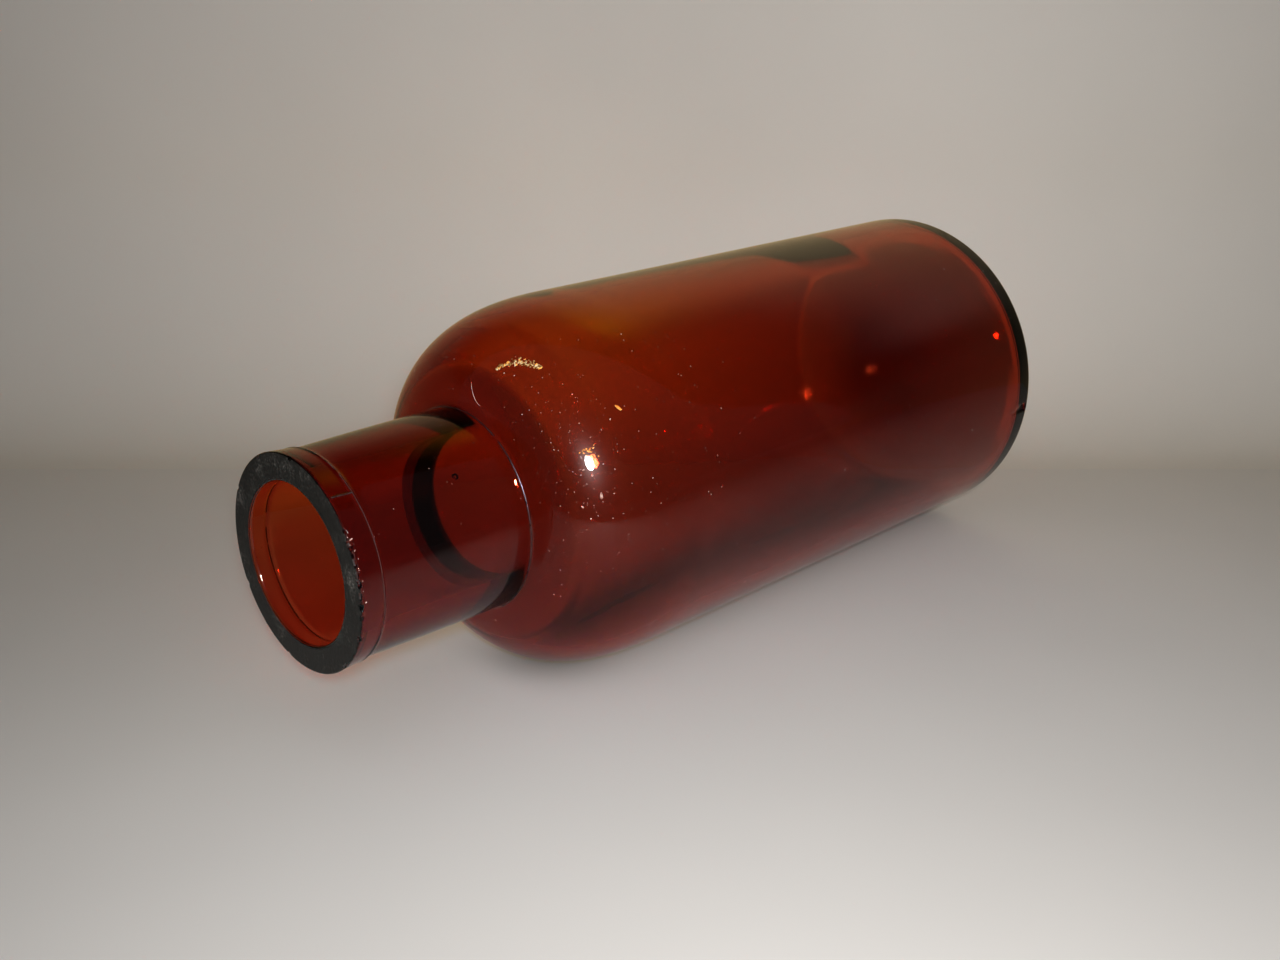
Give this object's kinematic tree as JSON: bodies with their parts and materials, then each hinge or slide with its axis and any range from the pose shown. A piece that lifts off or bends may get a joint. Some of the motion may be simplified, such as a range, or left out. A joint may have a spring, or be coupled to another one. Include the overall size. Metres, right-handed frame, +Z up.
{
  "type": "glass bottle",
  "caption": "Amber glass medicine bottle with a wide straight neck, ground mouth face, rounded shoulder and hollowed base, lying on its side.",
  "frame": {"origin": "centre of the ground mouth face, on the bottle's axis", "axes": "+X along the bottle's axis from the mouth to the base; +Z up, with the bottle lying on its side wall on the plane z = -0.0275"},
  "size_m": [0.133, 0.055, 0.055],
  "materials": {
    "amber_glass": "clear red-brown glass, fire-polished, slightly wavy inside",
    "amber_glass_band": "clear red-brown glass with a matt ground mouth face and a chipped outer edge"
  },
  "bodies": {
    "root": {"bottle_body": "amber_glass", "finish_band": "amber_glass_band"}
  },
  "joints": []
}
